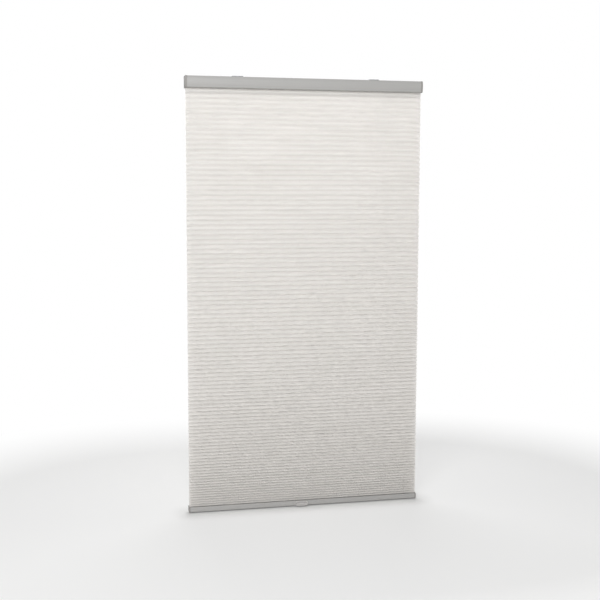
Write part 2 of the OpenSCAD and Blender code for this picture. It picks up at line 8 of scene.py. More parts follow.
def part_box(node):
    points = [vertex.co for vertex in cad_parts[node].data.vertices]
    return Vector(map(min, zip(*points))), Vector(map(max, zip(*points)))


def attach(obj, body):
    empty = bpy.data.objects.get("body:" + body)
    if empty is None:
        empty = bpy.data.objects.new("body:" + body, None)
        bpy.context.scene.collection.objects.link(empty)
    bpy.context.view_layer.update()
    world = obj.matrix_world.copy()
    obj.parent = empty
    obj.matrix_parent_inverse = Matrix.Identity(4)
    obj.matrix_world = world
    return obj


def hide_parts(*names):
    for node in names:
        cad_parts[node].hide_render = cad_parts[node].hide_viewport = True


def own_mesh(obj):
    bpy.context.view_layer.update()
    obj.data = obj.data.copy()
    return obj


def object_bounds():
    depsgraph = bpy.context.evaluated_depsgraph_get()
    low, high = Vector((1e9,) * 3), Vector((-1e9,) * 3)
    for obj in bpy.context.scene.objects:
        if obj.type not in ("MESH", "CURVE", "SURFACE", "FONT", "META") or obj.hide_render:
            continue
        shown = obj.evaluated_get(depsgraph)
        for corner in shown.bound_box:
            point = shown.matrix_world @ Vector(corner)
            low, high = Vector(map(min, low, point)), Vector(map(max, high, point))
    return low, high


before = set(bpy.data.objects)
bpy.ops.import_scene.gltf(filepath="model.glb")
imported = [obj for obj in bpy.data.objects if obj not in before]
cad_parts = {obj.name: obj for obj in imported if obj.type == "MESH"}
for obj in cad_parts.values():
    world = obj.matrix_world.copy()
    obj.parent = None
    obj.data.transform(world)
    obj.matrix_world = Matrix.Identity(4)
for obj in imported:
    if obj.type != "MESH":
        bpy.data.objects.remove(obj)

cad_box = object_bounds()
MM = 0.001
# Edges that turn more than this are shaded as sharp
SHARP = math.radians(40)

# Camera, from the shade's corners in the 600 by 600 picture
CAMERA_PLACE = (-0.6173, -2.7677, -0.3060)
CAMERA_YAW = math.radians(12.287)
CAMERA_PITCH = math.radians(6.315)
CAMERA_ROLL = math.radians(0.141)
LENS_MM = 60.13
SENSOR_MM = 36

# Headrail
HEAD_WALL = 1.5 * MM
BULGE_R = 45 * MM
BULGE_LEVEL = 0.52
NOSE_R = 4 * MM
LIP_HALF = 11 * MM
CHANNEL_W = 19.8 * MM
CHANNEL_H = 3 * MM
FABRIC_SLOT = 7 * MM
RIB_T = 1.2 * MM
CAP_PROUD = 0.4 * MM
CAP_PLUG = 12 * MM
CAP_PLUG_WALL = 1.6 * MM
FIT_GAP = 0.2 * MM
# How near two levels count as the same
HAIR = 0.02 * MM
CAP_SEAM = 0.5 * MM
CAP_ROUND = 0.9 * MM
CAP_RIM = 2.6 * MM
CAP_SUNK = 0.6 * MM

# Cells
CELL_COUNT = 102
FACET_W = 9.5 * MM
BOND_W = 5 * MM
FABRIC_T = 0.3 * MM
PITCH_TOP = 14 * MM
PITCH_BOTTOM = 6.4 * MM
END_NECK = 0.6 * MM
POCKET_W = 19.2 * MM
POCKET_H = 2.4 * MM
GLUE_T = 0.03 * MM
CREASE = 0.9 * MM
SHOULDER = 1.3 * MM
CORD_HOLE = 1.2 * MM
DRIFT = 0.4 * MM
# How much of the fabric's light passes through it
GLOW = 0.7

# Bottom rail
RAIL_WALL = 1.3 * MM
RAIL_CORNER_R = 4 * MM
RAIL_EDGE_R = 1.2 * MM
RAIL_HOLLOW_R = 0.3 * MM
RAIL_STEPS = 8
RAIL_CAP_PROUD = 0.3 * MM
RAIL_CAP_PLUG = 10 * MM

# Finger pull
PULL_RIM = 2.6 * MM
PULL_BACK = 2.2 * MM
PULL_FILLET = 1.5 * MM
PULL_PEG_R = 1.5 * MM

# Lift cords
CORD_R = 0.6 * MM
CORD_GAP = 0.1 * MM
PULLEY_GROOVE_R = 4 * MM
SPOOL_R = 8 * MM
KNOT_R = 1.7 * MM
KNOT_LUMP = 0.14

# Stage
FLOOR_HALF = 8
FLOOR_GAP = 1.5 * MM
AMBIENT = 0.3
FRONT_LAMP_PLACE = (-1.1, -2.9, 0.5)
FRONT_LAMP_WATTS = 70
BACK_LAMP_PLACE = (0.1, 0.9, 0.35)
BACK_LAMP_TARGET = (0, 0, -0.2)
BACK_LAMP_WATTS = 12

# What the frame says
head_low, head_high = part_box("headrail")
cap_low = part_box("left_headrail_end_cap")[0]
rail_low, rail_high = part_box("bottom_rail")
rail_cap_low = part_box("left_rail_end_cap")[0]
fabric_low, fabric_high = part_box("cell_fabric")
SIDES = {"left": -1, "right": 1}


# Mesh tools

def arc(centre, radius, start, end, steps):
    """Points of an arc in a plane, from one angle to another in degrees."""
    angles = [math.radians(start + (end - start) * i / steps) for i in range(steps + 1)]
    return [(centre[0] + radius * math.cos(a), centre[1] + radius * math.sin(a)) for a in angles]


def add_prism(bm, loops, way):
    """Fills the flat region between closed loops of points and extrudes it along way."""
    edges = []
    for loop in loops:
        verts = [bm.verts.new(point) for point in loop]
        edges += [bm.edges.new((verts[i - 1], vert)) for i, vert in enumerate(verts)]
    if len(loops) == 1:
        faces = [bm.faces.new(verts)]
    else:
        filled = bmesh.ops.triangle_fill(bm, edges=edges, use_beauty=True)["geom"]
        faces = [part for part in filled if isinstance(part, bmesh.types.BMFace)]
    made = bmesh.ops.extrude_face_region(bm, geom=faces)["geom"]
    bmesh.ops.translate(bm, vec=way, verts=[part for part in made if isinstance(part, bmesh.types.BMVert)])
    bmesh.ops.recalc_face_normals(bm, faces=bm.faces[:])


def skin(bm, rings):
    """Faces between a row of like rings of vertices."""
    for near, far in zip(rings, rings[1:]):
        for i in range(len(near)):
            bm.faces.new((near[i - 1], near[i], far[i], far[i - 1]))


def add_loft(bm, loops):
    """Skins a row of like closed loops of points and closes both ends."""
    rings = [[bm.verts.new(point) for point in loop] for loop in loops]
    skin(bm, rings)
    bm.faces.new(rings[0])
    bm.faces.new(rings[-1])
    bmesh.ops.recalc_face_normals(bm, faces=bm.faces[:])


def add_cap_plate(bm, section, inner, outer):
    """The plate of a cap, with a recess for the end of the fabric. section(grow) is its outline
    in three runs, the middle one in through the fabric slot; inner and outer are (grow, x) steps
    up to the floor of the recess and on from it."""
    rings = []
    for grow, x in inner:
        before, channel, after = section(grow)
        rings.append([bm.verts.new(point) for point in across(x, before + channel + after)])
    skin(bm, rings)
    bm.faces.new(rings[0])
    first, last = len(before), len(before) + len(channel) - 1
    floor = rings[-1]
    bm.faces.new(floor[first:last + 1])
    rings = [floor[:first + 1] + floor[last:]]
    for grow, x in outer:
        before, channel, after = section(grow)
        outline = [*before, channel[0], channel[-1], *after]
        rings.append([bm.verts.new(point) for point in across(x, outline)])
    skin(bm, rings)
    bm.faces.new(rings[-1])
    bmesh.ops.recalc_face_normals(bm, faces=bm.faces[:])


def rolled(radius, steps):
    """(in, along) steps of a quarter round, from the side of an edge to its top."""
    return arc((radius, -radius), radius, 180, 90, steps)


def across(x, points):
    """Places (Y, Z) points in the plane at x."""
    return [(x, y, z) for y, z in points]


def make_piece(name, bm, material, body, nodes=()):
    """Turns a finished bmesh into a piece that rides on a body and stands for CAD nodes."""
    mesh = bpy.data.meshes.new(name)
    bm.to_mesh(mesh)
    bm.free()
    mesh.materials.append(material)
    mesh.shade_smooth()
    mesh.set_sharp_from_angle(angle=SHARP)
    piece = bpy.data.objects.new(name, mesh)
    bpy.context.scene.collection.objects.link(piece)
    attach(piece, body)
    if nodes:
        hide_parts(*nodes)
    return piece


def keep_faces_flat(piece):
    """Shading normals follow the large faces, so that only the rounded edges turn."""
    flat = piece.modifiers.new("flat_faces", "WEIGHTED_NORMAL")
    flat.keep_sharp = True
    flat.weight = 100


# Material tools

def linear(hex_colour):
    """An sRGB hex value as linear red, green, blue and alpha."""
    parts = [int(hex_colour[i:i + 2], 16) / 255 for i in (1, 3, 5)]
    return (*[c / 12.92 if c <= 0.04045 else ((c + 0.055) / 1.055) ** 2.4 for c in parts], 1.0)


def add_node(tree, kind, inputs=None, **settings):
    """Adds a node with its settings; inputs are values, or the sockets that feed them."""
    node = tree.nodes.new(kind)
    for name, value in settings.items():
        setattr(node, name, value)
    for name, value in (inputs or {}).items():
        if isinstance(value, bpy.types.NodeSocket):
            tree.links.new(value, node.inputs[name])
        else:
            node.inputs[name].default_value = value
    return node


def per_metre(size_mm):
    """The scale of a pattern whose features are size_mm across."""
    return 1000 / size_mm


def new_tree(name):
    """A new material and its empty node tree."""
    material = bpy.data.materials.new(name)
    material.use_nodes = True
    material.node_tree.nodes.clear()
    return material, material.node_tree


def set_surface(tree, shader):
    """Ends a material's tree with its shader."""
    out = add_node(tree, "ShaderNodeOutputMaterial")
    tree.links.new(shader, out.inputs["Surface"])


def painted_aluminium():
    """Extruded aluminium with a baked satin grey paint: even colour, a soft sheen, a faint
    orange peel, and the extrusion's long lines just showing through."""
    material, tree = new_tree("painted_aluminium")
    place = add_node(tree, "ShaderNodeTexCoord").outputs["Object"]
    peel = add_node(tree, "ShaderNodeTexNoise", {"Vector": place, "Scale": per_metre(1.6), "Detail": 2.0})
    stretched = add_node(tree, "ShaderNodeMapping", {"Vector": place, "Scale": (0.004, 1, 1)})
    lines = add_node(tree, "ShaderNodeTexNoise", {
        "Vector": stretched.outputs["Vector"], "Scale": per_metre(1.2), "Detail": 3.0})
    colour = add_node(tree, "ShaderNodeMix", {
        0: lines.outputs["Fac"], 6: linear("#A9A8A6"), 7: linear("#B3B2B0")}, data_type="RGBA")
    rough = add_node(tree, "ShaderNodeMapRange", {
        "Value": peel.outputs["Fac"], "To Min": 0.28, "To Max": 0.4})
    bump = add_node(tree, "ShaderNodeBump", {
        "Height": peel.outputs["Fac"], "Strength": 0.12, "Distance": 0.05 * MM})
    shader = add_node(tree, "ShaderNodeBsdfPrincipled", {
        "Base Color": colour.outputs[2], "Roughness": rough.outputs["Result"], "IOR": 1.5,
        "Normal": bump.outputs["Normal"]})
    set_surface(tree, shader.outputs["BSDF"])
    return material


def moulded_plastic(name, dark, light, low_gloss, high_gloss, grain_mm):
    """Injection-moulded plastic from a fine spark-eroded tool: one even colour with a slight
    cloud in it, and a fine grain that breaks up the shine."""
    material, tree = new_tree(name)
    place = add_node(tree, "ShaderNodeTexCoord").outputs["Object"]
    cloud = add_node(tree, "ShaderNodeTexNoise", {"Vector": place, "Scale": per_metre(9), "Detail": 3.0})
    grain = add_node(tree, "ShaderNodeTexNoise", {
        "Vector": place, "Scale": per_metre(grain_mm), "Detail": 2.0})
    colour = add_node(tree, "ShaderNodeMix", {
        0: cloud.outputs["Fac"], 6: linear(dark), 7: linear(light)}, data_type="RGBA")
    rough = add_node(tree, "ShaderNodeMapRange", {
        "Value": grain.outputs["Fac"], "To Min": low_gloss, "To Max": high_gloss})
    bump = add_node(tree, "ShaderNodeBump", {
        "Height": grain.outputs["Fac"], "Strength": 0.2, "Distance": 0.04 * MM})
    shader = add_node(tree, "ShaderNodeBsdfPrincipled", {
        "Base Color": colour.outputs[2], "Roughness": rough.outputs["Result"], "IOR": 1.53,
        "Normal": bump.outputs["Normal"]})
    set_surface(tree, shader.outputs["BSDF"])
    return material


def plated_steel(name, dark, light, low_gloss, high_gloss, spangle_mm):
    """Pressed or turned steel with a thin plating: metal whose brightness wanders from crystal
    to crystal."""
    material, tree = new_tree(name)
    place = add_node(tree, "ShaderNodeTexCoord").outputs["Object"]
    spangle = add_node(tree, "ShaderNodeTexVoronoi", {"Vector": place, "Scale": per_metre(spangle_mm)})
    tone = add_node(tree, "ShaderNodeSeparateColor", {"Color": spangle.outputs["Color"]})
    scuff = add_node(tree, "ShaderNodeTexNoise", {"Vector": place, "Scale": per_metre(0.7), "Detail": 4.0})
    colour = add_node(tree, "ShaderNodeMix", {
        0: tone.outputs["Red"], 6: linear(dark), 7: linear(light)}, data_type="RGBA")
    rough = add_node(tree, "ShaderNodeMapRange", {
        "Value": scuff.outputs["Fac"], "To Min": low_gloss, "To Max": high_gloss})
    shader = add_node(tree, "ShaderNodeBsdfPrincipled", {
        "Base Color": colour.outputs[2], "Roughness": rough.outputs["Result"], "Metallic": 1.0})
    set_surface(tree, shader.outputs["BSDF"])
    return material


def braided_polyester():
    """Thin braided polyester cord: white yarns that cross in a fine diamond, drawn twice as
    coarse as the real braid so that it shows."""
    material, tree = new_tree("braided_polyester")
    place = add_node(tree, "ShaderNodeTexCoord").outputs["Object"]
    turned = add_node(tree, "ShaderNodeMapping", {"Vector": place, "Rotation": (0, math.radians(40), 0)})
    yarn = add_node(tree, "ShaderNodeTexWave", {
        "Vector": turned.outputs["Vector"], "Scale": per_metre(4), "Distortion": 1.0})
    colour = add_node(tree, "ShaderNodeMix", {
        0: yarn.outputs["Fac"], 6: linear("#CFCDC7"), 7: linear("#F1EFEA")}, data_type="RGBA")
    bump = add_node(tree, "ShaderNodeBump", {
        "Height": yarn.outputs["Fac"], "Strength": 0.6, "Distance": 0.1 * MM})
    shader = add_node(tree, "ShaderNodeBsdfPrincipled", {
        "Base Color": colour.outputs[2], "Roughness": 0.8, "Sheen Weight": 0.2,
        "Normal": bump.outputs["Normal"]})
    set_surface(tree, shader.outputs["BSDF"])
    return material


def spunbond_polyester():
    """Spunbond polyester: a thin off-white sheet of pressed fibres that glows when lit from
    behind, with a faint cloudiness where the fibres lie thicker and a dry, matt face."""
    material, tree = new_tree("spunbond_polyester")
    place = add_node(tree, "ShaderNodeTexCoord").outputs["Object"]
    laid = add_node(tree, "ShaderNodeMapping", {"Vector": place, "Scale": (0.12, 1, 1)})
    cloud = add_node(tree, "ShaderNodeTexNoise", {
        "Vector": laid.outputs["Vector"], "Scale": per_metre(30), "Detail": 2.0})
    fibre = add_node(tree, "ShaderNodeTexNoise", {
        "Vector": laid.outputs["Vector"], "Scale": per_metre(0.6), "Detail": 3.0})
    thick = add_node(tree, "ShaderNodeMath", {0: cloud.outputs["Fac"], 1: fibre.outputs["Fac"]},
                     operation="MULTIPLY")
    colour = add_node(tree, "ShaderNodeMix", {
        0: thick.outputs["Value"], 6: linear("#F9F8F7"), 7: linear("#F3F2F0")}, data_type="RGBA")
    bump = add_node(tree, "ShaderNodeBump", {
        "Height": fibre.outputs["Fac"], "Strength": 0.03, "Distance": 0.1 * MM})
    face = add_node(tree, "ShaderNodeBsdfPrincipled", {
        "Base Color": colour.outputs[2], "Roughness": 0.9, "IOR": 1.45, "Specular IOR Level": 0.15,
        "Normal": bump.outputs["Normal"]})
    glow = add_node(tree, "ShaderNodeBsdfTranslucent", {"Color": colour.outputs[2]})
    shader = add_node(tree, "ShaderNodeMixShader", {
        0: GLOW, 1: face.outputs["BSDF"], 2: glow.outputs["BSDF"]})
    set_surface(tree, shader.outputs["Shader"])
    return material


paint = painted_aluminium()
# Matt grey ABS of the end caps and rail plugs
cap_plastic = moulded_plastic("moulded_grey_abs", "#8F8D8A", "#9D9B98", 0.42, 0.6, 0.5)
# Paler, glossier ABS of the finger pull
pull_plastic = moulded_plastic("moulded_pale_abs", "#BEBCBA", "#CAC8C6", 0.25, 0.38, 0.8)
# Off-white ABS of the motor housing and the cord guides
motor_plastic = moulded_plastic("moulded_motor_abs", "#D2D0CB", "#DCDAD5", 0.45, 0.6, 0.6)
# Slippery white acetal of the drums, spools and pulleys
acetal = moulded_plastic("moulded_acetal", "#E6E4DE", "#F0EEE9", 0.3, 0.42, 1.0)
# Extruded PVC of the strips that hold the fabric
strip_pvc = moulded_plastic("extruded_pvc", "#E2E1DD", "#ECEBE8", 0.3, 0.45, 2.0)
# Zinc-plated pressed steel of the brackets
bracket_steel = plated_steel("zinc_plated_steel", "#85878A", "#A4A6A8", 0.3, 0.5, 5.0)
# Bright turned steel of the screws, pins and washers
bright_steel = plated_steel("bright_steel", "#A9AAAB", "#C2C3C3", 0.22, 0.4, 1.5)
# Blued strip of the drive spring
blued_steel = plated_steel("blued_spring_steel", "#4C5663", "#66707C", 0.22, 0.35, 3.0)
cord_braid = braided_polyester()
fabric = spunbond_polyester()


# Headrail and its caps

def headrail_outline(grow):
    """The headrail's outline moved out by grow: back, top, bulged front, rounded nose, bottom."""
    bulge_y = head_low.y + BULGE_R
    bulge_z = head_low.z + BULGE_LEVEL * (head_high.z - head_low.z)
    radius, nose = BULGE_R + grow, NOSE_R + grow
    low, high, back = head_low.z - grow, head_high.z + grow, head_high.y + grow
    nose_z = head_low.z + NOSE_R
    nose_y = bulge_y - math.sqrt((BULGE_R - NOSE_R) ** 2 - (nose_z - bulge_z) ** 2)
    top_angle = 180 - math.degrees(math.asin((high - bulge_z) / radius))
    nose_angle = 180 + math.degrees(math.asin((bulge_z - nose_z) / (BULGE_R - NOSE_R)))
    front = arc((bulge_y, bulge_z), radius, top_angle, nose_angle, 24)
    return front + arc((nose_y, nose_z), nose, nose_angle, 270, 10)[1:] + [(back, low), (back, high)]


def between(points, low, high):
    """The points of a line whose height is between two levels."""
    return [point for point in points if low + HAIR < point[1] < high - HAIR]


def front_y(points, z):
    """Where the front of an outline crosses the level z."""
    for (y0, z0), (y1, z1) in zip(points, points[1:]):
        if min(z0, z1) - HAIR < z < max(z0, z1) + HAIR:
            return y0 + (y1 - y0) * (z - z0) / (z1 - z0)


def head_channel(grow):
    """The run of the headrail's section in through the fabric slot and round its channel."""
    half, slot = CHANNEL_W / 2, FABRIC_SLOT / 2
    mouth, sill = head_low.z - grow, head_low.z + HEAD_WALL
    top = sill + CHANNEL_H
    return [(-slot, mouth), (-slot, sill), (-half, sill), (-half, top),
            (half, top), (half, sill), (slot, sill), (slot, mouth)]


def headrail_loops():
    """The extrusion's section: one outline that runs in through the top slot and the fabric
    slot, and the two closed chambers beside the fabric channel."""
    outer = headrail_outline(0)
    inner = headrail_outline(-HEAD_WALL)
    low, high, back = head_low.z, head_high.z, head_high.y
    lip = high - HEAD_WALL
    sill = low + HEAD_WALL
    floor_under = sill + CHANNEL_H
    floor_top = floor_under + HEAD_WALL
    chamber = CHANNEL_W / 2 + RIB_T
    cavity = [(front_y(inner, lip), lip), *between(inner[:-2], floor_top, lip),
              (front_y(inner, floor_top), floor_top)]
    wall = [(back, low), (back, high), (LIP_HALF, high), (LIP_HALF, lip), (back - HEAD_WALL, lip),
            (back - HEAD_WALL, floor_top)]
    outline = outer[:-2] + head_channel(0) + wall + cavity[::-1] + [(-LIP_HALF, lip), (-LIP_HALF, high)]
    nose = [(front_y(inner, floor_under), floor_under), *between(inner[:-2], sill - 2 * HAIR, floor_under)]
    front_chamber = nose + [(-chamber, sill), (-chamber, floor_under)]
    rear_chamber = [(chamber, sill), (back - HEAD_WALL, sill),
                    (back - HEAD_WALL, floor_under), (chamber, floor_under)]
    return [outline, front_chamber, rear_chamber]


def headrail_extrusion():
    """The headrail's section drawn along the width."""
    bm = bmesh.new()
    loops = [across(head_low.x, loop) for loop in headrail_loops()]
    add_prism(bm, loops, (head_high.x - head_low.x, 0, 0))
    make_piece("headrail_extrusion", bm, paint, "headrail", ["headrail"])


def cap_section(grow):
    """The headrail cap's outline, split where it runs in round the fabric."""
    outline = headrail_outline(grow)
    return outline[:-2], head_channel(grow), outline[-2:]


def headrail_cap(side, sign):
    """A moulded cap: a plate with a rounded rim, a sunk outer face and a recess for the fabric's
    end, and the hollow plug that holds it in the headrail."""
    bm = bmesh.new()
    inside, outside = sign * head_high.x, sign * -cap_low.x
    recess = sign * (fabric_high.x + FIT_GAP)
    rim = [(CAP_PROUD - step, outside + sign * along) for step, along in rolled(CAP_ROUND, 4)]
    panel = [(CAP_PROUD - CAP_RIM, outside), (CAP_PROUD - CAP_RIM - CAP_SUNK, outside - sign * CAP_SUNK)]
    seam = [(CAP_PROUD - CAP_SEAM, inside), (CAP_PROUD, inside + sign * CAP_SEAM)]
    add_cap_plate(bm, cap_section, [*seam, (CAP_PROUD, recess)], [*rim, *panel])
    gap = HEAD_WALL + FIT_GAP
    plug = [headrail_plug(gap), headrail_plug(gap + CAP_PLUG_WALL)]
    add_prism(bm, [across(inside, loop) for loop in plug], (-sign * CAP_PLUG, 0, 0))
    piece = make_piece(f"{side}_headrail_cap", bm, cap_plastic, "headrail",
                       [f"{side}_headrail_end_cap"])
    keep_faces_flat(piece)


def headrail_plug(inset):
    """The headrail's upper chamber, moved in by inset from its outer faces."""
    outline = headrail_outline(-inset)
    low = head_low.z + HEAD_WALL + CHANNEL_H + inset
    high = head_high.z - inset
    front = [(front_y(outline, high), high), *between(outline[:-2], low, high),
             (front_y(outline, low), low)]
    return front + [(head_high.y - inset, low), (head_high.y - inset, high)]


# Cells

def bond_levels():
    """The heights of the glued bonds: cells near the headrail carry more weight and hang longer."""
    top = head_low.z - END_NECK
    drop = top - (rail_high.z + END_NECK)
    shares = [i / (CELL_COUNT - 1) for i in range(CELL_COUNT)]
    hang = [PITCH_TOP - (PITCH_TOP - PITCH_BOTTOM) * share ** 2 for share in shares]
    levels = [top]
    for pitch in hang:
        levels.append(levels[-1] - pitch * drop / sum(hang))
    return levels


def cell_corners(top, bottom):
    """Corners of one cell from its front crease round, with two points on each bond for the
    cord's hole."""
    depth = math.sqrt(FACET_W ** 2 - ((top - bottom) / 2) ** 2)
    crest, middle, bond = BOND_W / 2 + depth, (top + bottom) / 2, BOND_W / 2
    upper = [(-bond, top), (-CORD_HOLE, top), (CORD_HOLE, top), (bond, top)]
    lower = [(bond, bottom), (CORD_HOLE, bottom), (-CORD_HOLE, bottom), (-bond, bottom)]
    return [(-crest, middle), *upper, (crest, middle), *lower]


def strip_pocket(strip_z, neck_z):
    """The flat cell that wraps a strip and comes out through its slot."""
    near = strip_z + math.copysign(POCKET_H / 2, neck_z - strip_z)
    far = 2 * strip_z - near
    half, bond = POCKET_W / 2, BOND_W / 2
    return [(-bond, neck_z), (-bond, near), (-half, near), (-half, far), (-CORD_HOLE, far),
            (CORD_HOLE, far), (half, far), (half, near), (bond, near), (bond, neck_z),
            (CORD_HOLE, neck_z), (-CORD_HOLE, neck_z)]


def hang_unevenly(point):
    """Cloth never hangs dead straight: a slow drift along the width, most in the middle of the drop."""
    share = (head_low.z - point.z) / (head_low.z - rail_high.z)
    free = math.sin(math.pi * min(max(share, 0), 1))
    x, z = point.x, point.z
    point.y += free * DRIFT * math.sin(9 * x + 3 * z) * math.sin(4 * z + 1)
    point.z += free * DRIFT * math.sin(7 * x + 5 * z + 2)


def sweep_cloth(bm):
    """Draws closed outlines at the left edge across the width as a thin sheet, with holes for
    the cords."""
    left, right = fabric_low.x, fabric_high.x
    washer_low, washer_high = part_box("right_cord_washer")
    cord_x = (washer_low.x + washer_high.x) / 2
    reach = cord_x - CORD_HOLE
    inner = [-reach + 2 * reach * i / 6 for i in range(7)]
    stations = [left, -cord_x - CORD_HOLE, *inner, cord_x + CORD_HOLE, right]
    outline = bm.edges[:]
    for here, there in zip(stations, stations[1:]):
        made = bmesh.ops.extrude_edge_only(bm, edges=outline)["geom"]
        verts = {part for part in made if isinstance(part, bmesh.types.BMVert)}
        outline = [part for part in made
                   if isinstance(part, bmesh.types.BMEdge) and verts.issuperset(part.verts)]
        bmesh.ops.translate(bm, vec=(there - here, 0, 0), verts=list(verts))
    punched = []
    for face in bm.faces:
        middle = face.calc_center_median()
        if abs(abs(middle.x) - cord_x) < CORD_HOLE / 2 and abs(middle.y) < CORD_HOLE / 2:
            punched.append(face)
    bmesh.ops.delete(bm, geom=punched, context="FACES")
    bmesh.ops.recalc_face_normals(bm, faces=bm.faces[:])
    bmesh.ops.solidify(bm, geom=bm.faces[:], thickness=FABRIC_T)


def honeycomb(bonds):
    """The cells from bond to bond."""
    bm = bmesh.new()
    creases, shoulders = [], []
    for top, bottom in zip(bonds, bonds[1:]):
        corners = cell_corners(top - GLUE_T, bottom + GLUE_T)
        verts = [bm.verts.new((fabric_low.x, y, z)) for y, z in corners]
        bm.faces.new(verts)
        creases += [verts[0], verts[5]]
        shoulders += [verts[1], verts[4], verts[6], verts[9]]
    bmesh.ops.bevel(bm, geom=creases, offset=CREASE, offset_type="OFFSET", affect="VERTICES",
                    segments=3, profile=0.5, material=-1)
    bmesh.ops.bevel(bm, geom=shoulders, offset=SHOULDER, offset_type="OFFSET", affect="VERTICES",
                    segments=2, profile=0.5, material=-1)
    bmesh.ops.delete(bm, geom=bm.faces[:], context="FACES_ONLY")
    sweep_cloth(bm)
    for vert in bm.verts:
        hang_unevenly(vert.co)
    piece = make_piece("honeycomb_fabric", bm, fabric, "headrail", ["cell_fabric"])
    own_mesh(piece)


def fabric_pocket(name, body, strip, neck_z):
    """The flat end cell that wraps a strip and holds the fabric in its rail."""
    bm = bmesh.new()
    strip_low, strip_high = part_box(strip)
    outline = strip_pocket((strip_low.z + strip_high.z) / 2, neck_z)
    bm.faces.new([bm.verts.new((fabric_low.x, y, z)) for y, z in outline])
    bmesh.ops.delete(bm, geom=bm.faces[:], context="FACES_ONLY")
    sweep_cloth(bm)
    piece = make_piece(name, bm, fabric, body)


# Bottom rail, its caps and the finger pull

def rounded_box(half, low, high, low_r, high_r, steps):
    """A (Y, Z) outline with round lower and upper corners."""
    return (arc((-half + low_r, low + low_r), low_r, 180, 270, steps)
            + arc((half - low_r, low + low_r), low_r, 270, 360, steps)
            + arc((half - high_r, high - high_r), high_r, 0, 90, steps)
            + arc((-half + high_r, high - high_r), high_r, 90, 180, steps))


def rail_outline(grow, steps):
    """The bottom rail's outline moved out by grow."""
    return rounded_box(rail_high.y + grow, rail_low.z - grow, rail_high.z + grow,
                       RAIL_CORNER_R + grow, RAIL_EDGE_R + grow, steps)


def rail_channel(grow):
    """The run of the rail's section in through the fabric slot and round its channel."""
    half, slot = CHANNEL_W / 2, FABRIC_SLOT / 2
    mouth, sill = rail_high.z + grow, rail_high.z - RAIL_WALL
    web = sill - CHANNEL_H
    return [(slot, mouth), (slot, sill), (half, sill), (half, web),
            (-half, web), (-half, sill), (-slot, sill), (-slot, mouth)]


def rail_section(grow):
    """The rail's outline moved out by grow, split where it runs in round the fabric."""
    outline = rail_outline(grow, RAIL_STEPS)
    split = 3 * (RAIL_STEPS + 1)
    return outline[:split], rail_channel(grow), outline[split:]


def bottom_rail_extrusion():
    """The rail's section: an outline that runs in through the fabric slot, and the hollow below."""
    bm = bmesh.new()
    before, channel, after = rail_section(0)
    hollow_top = rail_high.z - 2 * RAIL_WALL - CHANNEL_H
    hollow = rounded_box(rail_high.y - RAIL_WALL, rail_low.z + RAIL_WALL, hollow_top,
                         RAIL_CORNER_R - RAIL_WALL, RAIL_HOLLOW_R, RAIL_STEPS)
    loops = [before + channel + after, hollow]
    add_prism(bm, [across(rail_low.x, loop) for loop in loops], (rail_high.x - rail_low.x, 0, 0))
    make_piece("bottom_rail_extrusion", bm, paint, "bottom_rail", ["bottom_rail"])


def rail_cap(side, sign):
    """A moulded cap with a rounded rim and a recess for the fabric's end, and the plug that
    holds it in the rail."""
    bm = bmesh.new()
    inside, outside = sign * rail_high.x, sign * -rail_cap_low.x
    recess = sign * (fabric_high.x + FIT_GAP)
    rim = [(RAIL_CAP_PROUD - step, outside + sign * along) for step, along in rolled(CAP_ROUND, 4)]
    add_cap_plate(bm, rail_section, [(RAIL_CAP_PROUD, inside), (RAIL_CAP_PROUD, recess)], rim)
    gap = RAIL_WALL + FIT_GAP
    plug_top = rail_high.z - 2 * RAIL_WALL - CHANNEL_H - FIT_GAP
    plug = rounded_box(rail_high.y - gap, rail_low.z + gap, plug_top,
                       RAIL_CORNER_R - gap, RAIL_HOLLOW_R, 4)
    add_prism(bm, [across(inside, plug)], (-sign * RAIL_CAP_PLUG, 0, 0))
    piece = make_piece(f"{side}_rail_cap", bm, cap_plastic, "bottom_rail",
                       [f"{side}_rail_end_cap"])
    keep_faces_flat(piece)


def pull_outline(inset, y):
    """The finger pull's outline, a bar with round ends, moved in by inset."""
    low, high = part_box("lift_handle")
    radius, middle_z = (high.z - low.z) / 2, (low.z + high.z) / 2
    right = arc((high.x - radius, middle_z), radius - inset, -90, 90, 16)
    left = arc((low.x + radius, middle_z), radius - inset, 90, 270, 16)
    return [(x, y, z) for x, z in right + left]


def finger_pull():
    """A moulded finger dish: a bar with round ends, a rolled rim and a sunk floor, on two pegs."""
    bm = bmesh.new()
    low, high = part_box("lift_handle")
    front, floor, seat = low.y, rail_low.y - PULL_BACK, rail_low.y
    roll = PULL_RIM / 2
    rim = [(roll - roll * math.cos(a), front + roll - roll * math.sin(a))
           for a in (math.pi * i / 10 for i in range(11))]
    well = [(PULL_RIM + PULL_FILLET - PULL_FILLET * math.cos(a),
             floor - PULL_FILLET + PULL_FILLET * math.sin(a))
            for a in (math.pi / 2 * i / 5 for i in range(6))]
    add_loft(bm, [pull_outline(inset, y) for inset, y in [(0, seat), *rim, *well]])
    radius, middle_z = (high.z - low.z) / 2, (low.z + high.z) / 2
    for x in (low.x + radius, high.x - radius):
        peg = Matrix.Translation((x, (seat + high.y) / 2, middle_z)) @ Matrix.Rotation(math.pi / 2, 4, "X")
        bmesh.ops.create_cone(bm, segments=20, radius1=PULL_PEG_R, radius2=PULL_PEG_R, cap_ends=True,
                              depth=high.y - seat, matrix=peg)
    piece = make_piece("finger_pull", bm, pull_plastic, "bottom_rail", ["lift_handle"])
    keep_faces_flat(piece)


# Lift cords

